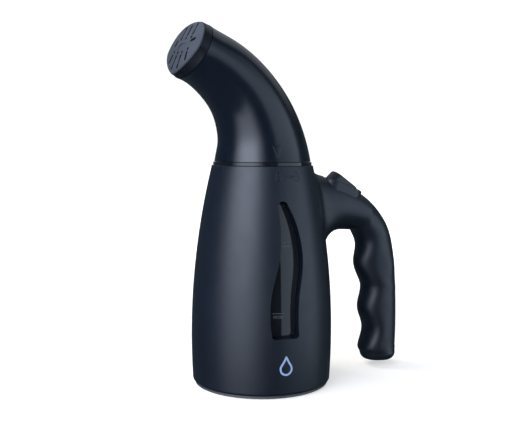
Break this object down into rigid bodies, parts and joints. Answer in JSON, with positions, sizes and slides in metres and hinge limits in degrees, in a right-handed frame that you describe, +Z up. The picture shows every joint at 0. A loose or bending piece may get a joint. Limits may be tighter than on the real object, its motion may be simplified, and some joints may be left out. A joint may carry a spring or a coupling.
{
  "type": "garment steamer",
  "caption": "Hand-held garment steamer: jug body with water window, free-ended grip, rocker switch and a bent twist-off steam nozzle.",
  "frame": {"origin": "centre of the flat underside that the steamer stands on", "axes": "+Z up along the body; -X towards the steam nozzle, +X towards the handle, -Y the side with the water window"},
  "size_m": [0.1823, 0.0986, 0.2475],
  "materials": {
    "body_plastic": "satin dark navy moulded plastic",
    "rocker_plastic": "satin dark navy moulded plastic",
    "nozzle_plastic": "semi-gloss dark navy moulded plastic",
    "trim_plastic": "semi-gloss near-black plastic",
    "plate_grey": "grey textured coated metal",
    "inner_plastic": "heat-resistant dark plastic",
    "black_gloss": "polished black plastic",
    "tank_smoke": "glossy smoke-tinted plastic",
    "base_plastic": "matt grey plastic",
    "rubber": "matt black rubber",
    "silicone": "translucent grey silicone",
    "steel": "zinc-plated steel",
    "stainless": "brushed stainless steel",
    "aluminium": "die-cast aluminium",
    "brass": "tin-plated brass",
    "lead_brown": "brown insulation",
    "lead_blue": "blue insulation"
  },
  "bodies": {
    "housing": {"barrel": "body_plastic", "handle_left": "body_plastic", "handle_right": "body_plastic", "switch_bezel": "body_plastic", "tank_collar": "black_gloss", "water_tank": "tank_smoke", "base_cover": "base_plastic", "base_pad": "rubber", "base_screws": "steel", "handle_screws": "steel", "clamp_screws": "steel", "cord_clamp_screws": "steel", "rocker_pin": "steel", "heater_plate": "stainless", "heater_gasket": "silicone", "clamp_ring": "inner_plastic", "heat_diffuser": "aluminium", "heating_element": "stainless", "element_terminals": "brass", "thermostat": "brass", "thermal_fuse": "aluminium", "fuse_clip": "stainless", "switch_body": "inner_plastic", "cord_gland": "rubber", "cord_clamp": "inner_plastic", "lead_grommet": "rubber", "live_lead": "lead_brown", "switched_lead": "lead_brown", "neutral_lead": "lead_blue"},
    "seal": {"neck_seal": "silicone"},
    "nozzle": {"nozzle_shell": "nozzle_plastic", "nozzle_collar": "inner_plastic", "neck_screws": "steel", "splash_baffle": "inner_plastic", "steam_duct": "inner_plastic", "head_ring": "trim_plastic", "steam_plate": "plate_grey"},
    "rocker": {"switch_rocker": "rocker_plastic"}
  },
  "joints": [
    {"name": "nozzle_lift", "type": "slide", "parent": "housing", "child": "seal", "axis": [0, 0, 1], "range_m": [0, 0.07]},
    {"name": "nozzle_twist", "type": "hinge", "parent": "seal", "child": "nozzle", "pos_m": [0, 0, 0.15], "axis": [0, 0, 1], "range_deg": [0, 21]},
    {"name": "switch_rock", "type": "hinge", "parent": "housing", "child": "rocker", "pos_m": [0.06439, 0, 0.13612], "axis": [0, -1, 0], "range_deg": [0, 11]}
  ]
}
